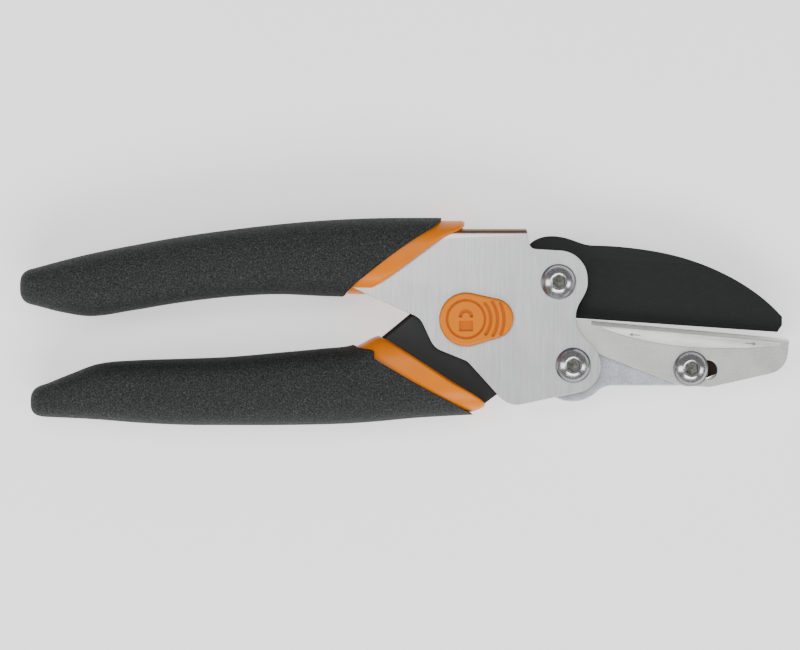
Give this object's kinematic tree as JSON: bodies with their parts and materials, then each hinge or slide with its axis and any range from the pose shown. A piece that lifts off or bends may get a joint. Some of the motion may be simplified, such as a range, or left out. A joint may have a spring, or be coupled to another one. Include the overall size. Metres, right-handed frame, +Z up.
{
  "type": "anvil pruner",
  "caption": "Hand pruner with a compound lever: a straight black blade closes on a sliding anvil, with soft grips and a thumb lock.",
  "frame": {"origin": "under the middle of the tool, on the surface that it lies on", "axes": "+X from the grips to the jaw, +Y from the lower grip to the upper grip, +Z up through the thickness, along the pivots"},
  "size_m": [0.2063, 0.0559, 0.022],
  "materials": {
    "stainless_sheet": "satin, fine brushed",
    "cast_arm": "fine blasted casting",
    "cast_anvil": "satin, lightly tumbled casting",
    "coated_blade": "matte black low friction coating",
    "black_lever": "satin black coating",
    "orange_plastic": "glossy moulded",
    "soft_grip": "soft pebbled rubber",
    "black_plastic": "matte moulded",
    "bright_bolt": "polished nickel",
    "zinc_steel": "zinc plated",
    "hard_pin": "ground steel",
    "bronze_washer": "bronze",
    "spring_wire": "drawn spring wire"
  },
  "bodies": {
    "upper_handle": {"upper_channel": "stainless_sheet", "upper_grip_core": "orange_plastic", "upper_grip_sleeve": "soft_grip", "anvil_arm": "cast_arm", "blade_pivot_bolt": "bright_bolt", "blade_pivot_bush": "hard_pin", "blade_pivot_nut": "zinc_steel", "blade_washers": "bronze_washer", "handle_pivot_bolt": "bright_bolt", "handle_pivot_bush": "hard_pin", "handle_pivot_nut": "zinc_steel", "handle_washers": "bronze_washer", "anvil_clamp_bolt": "bright_bolt", "anvil_clamp_washer": "zinc_steel", "anvil_clamp_nut": "zinc_steel", "return_spring": "spring_wire", "spring_peg": "zinc_steel"},
    "blade": {"blade": "coated_blade", "drive_pin": "hard_pin"},
    "lower_handle": {"lower_channel": "black_lever", "lower_grip_core": "orange_plastic", "lower_grip_sleeve": "soft_grip", "spring_seat": "black_plastic"},
    "lock": {"lock_button": "orange_plastic", "lock_slider": "zinc_steel"},
    "anvil": {"anvil": "cast_anvil"}
  },
  "joints": [
    {"name": "handle_pivot", "type": "hinge", "parent": "upper_handle", "child": "lower_handle", "pos_m": [0.0451, -0.0117, 0.011], "axis": [0, 0, 1], "range_deg": [0, 32]},
    {"name": "blade_pivot", "type": "hinge", "parent": "upper_handle", "child": "blade", "pos_m": [0.0412, 0.0106, 0.011], "axis": [0, 0, 1], "range_deg": [0, 20]},
    {"name": "lock_slide", "type": "slide", "parent": "upper_handle", "child": "lock", "axis": [1, 0, 0], "range_m": [0, 0.003]},
    {"name": "anvil_adjust", "type": "slide", "parent": "upper_handle", "child": "anvil", "axis": [0.9959, -0.0906, 0], "range_m": [-0.0012, 0.002]}
  ],
  "couplings": [
    {"joint": "blade_pivot", "follows": "handle_pivot", "ratio": 0.62}
  ]
}
